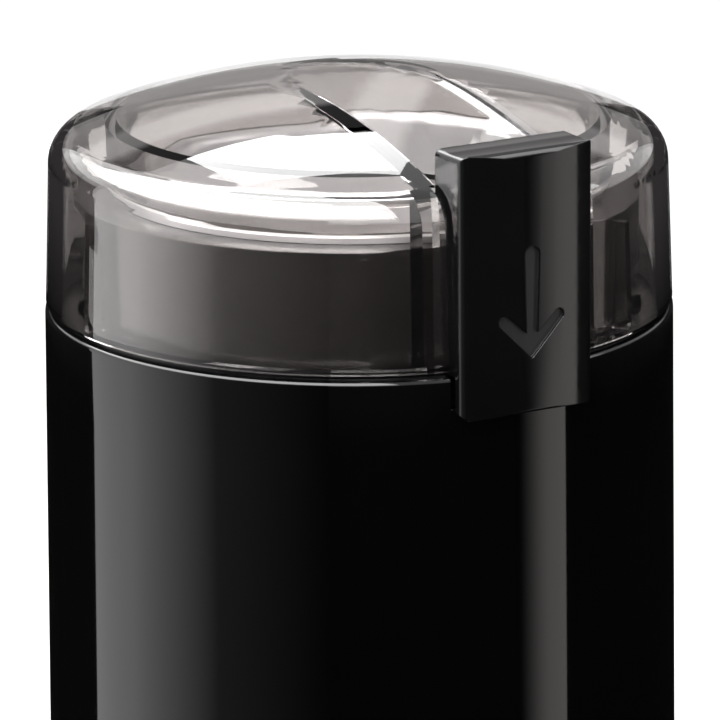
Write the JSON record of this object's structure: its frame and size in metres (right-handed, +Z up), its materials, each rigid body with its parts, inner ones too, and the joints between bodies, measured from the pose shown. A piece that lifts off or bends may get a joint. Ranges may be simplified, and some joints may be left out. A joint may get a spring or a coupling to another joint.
{
  "type": "electric spice grinder",
  "caption": "Round electric spice grinder: gloss black housing, smoked domed lid, side push button, steel bowl with a two-wing blade and a vertical motor.",
  "frame": {"origin": "on the motor axis, in the plane that the rubber feet stand on", "axes": "+Z up along the motor axis; the push button is on the -Y side; the cord gland is on the +Y side"},
  "size_m": [0.0906, 0.0937, 0.1697],
  "materials": {
    "housing_gloss": "high gloss black moulding",
    "button_gloss": "high gloss black moulding with a satin arrow",
    "smoked_clear": "clear plastic with a brown-grey smoke tint, polished",
    "inner_black": "fine-grained black moulding",
    "base_black": "fine-grained black moulding",
    "bowl_steel": "stainless steel, brushed round the axis",
    "blade_steel": "stainless steel, ground edges",
    "screw_steel": "zinc-plated steel",
    "spring_steel": "spring steel wire",
    "shaft_steel": "ground steel",
    "core_steel": "stacked laminations",
    "copper": "enamelled copper wire",
    "commutator_copper": "turned copper bars",
    "bronze": "sintered bronze",
    "holder_brass": "folded brass",
    "carbon": "pressed carbon",
    "cast_alloy": "die-cast",
    "rubber_black": "matt rubber",
    "nut_black": "matt black plastic",
    "fan_white": "natural white plastic",
    "bobbin_cream": "cream plastic",
    "switch_grey": "dark grey plastic",
    "plunger_red": "red plastic",
    "capacitor_yellow": "yellow plastic box",
    "terminal_cream": "cream plastic"
  },
  "bodies": {
    "base": {"housing": "housing_gloss", "base_cover": "base_black", "base_screws": "screw_steel", "rubber_feet": "rubber_black", "cord_gland": "rubber_black", "bowl_carrier": "inner_black", "carrier_screws": "screw_steel", "grinding_bowl": "bowl_steel", "shaft_seal": "rubber_black", "button_spring": "spring_steel", "switch_body": "switch_grey", "switch_screws": "screw_steel", "stator_core": "core_steel", "coil_bobbins": "bobbin_cream", "field_coils": "copper", "upper_bracket": "cast_alloy", "lower_bracket": "switch_grey", "motor_bolts": "screw_steel", "upper_bearing": "bronze", "lower_bearing": "bronze", "bearing_clips": "spring_steel", "motor_mounts": "rubber_black", "mount_screws": "screw_steel", "brush_holders": "holder_brass", "carbon_brushes": "carbon", "brush_springs": "spring_steel", "brush_caps": "nut_black", "capacitor": "capacitor_yellow", "terminal_block": "terminal_cream"},
    "lid": {"lid": "smoked_clear"},
    "button": {"push_button": "button_gloss"},
    "plunger": {"switch_plunger": "plunger_red"},
    "rotor": {"blade": "blade_steel", "blade_nut": "nut_black", "drive_shaft": "shaft_steel", "armature_core": "core_steel", "armature_winding": "copper", "commutator": "commutator_copper", "cooling_fan": "fan_white", "thrust_washers": "bobbin_cream"}
  },
  "joints": [
    {"name": "lid_lift", "type": "slide", "parent": "base", "child": "lid", "axis": [0, 0, 1], "range_m": [0, 0.045]},
    {"name": "button_press", "type": "slide", "parent": "base", "child": "button", "axis": [0, 0, -1], "range_m": [0, 0.004], "stiffness_N_per_m": 400, "springref_m": -0.006, "deforming": ["button_spring"]},
    {"name": "plunger_press", "type": "slide", "parent": "base", "child": "plunger", "axis": [0, 0, -1], "range_m": [0, 0.004]},
    {"name": "rotor_spin", "type": "hinge", "parent": "base", "child": "rotor", "pos_m": [0, 0, 0], "axis": [0, 0, 1], "continuous": true}
  ],
  "couplings": [
    {"joint": "plunger_press", "follows": "button_press", "ratio": 1}
  ]
}
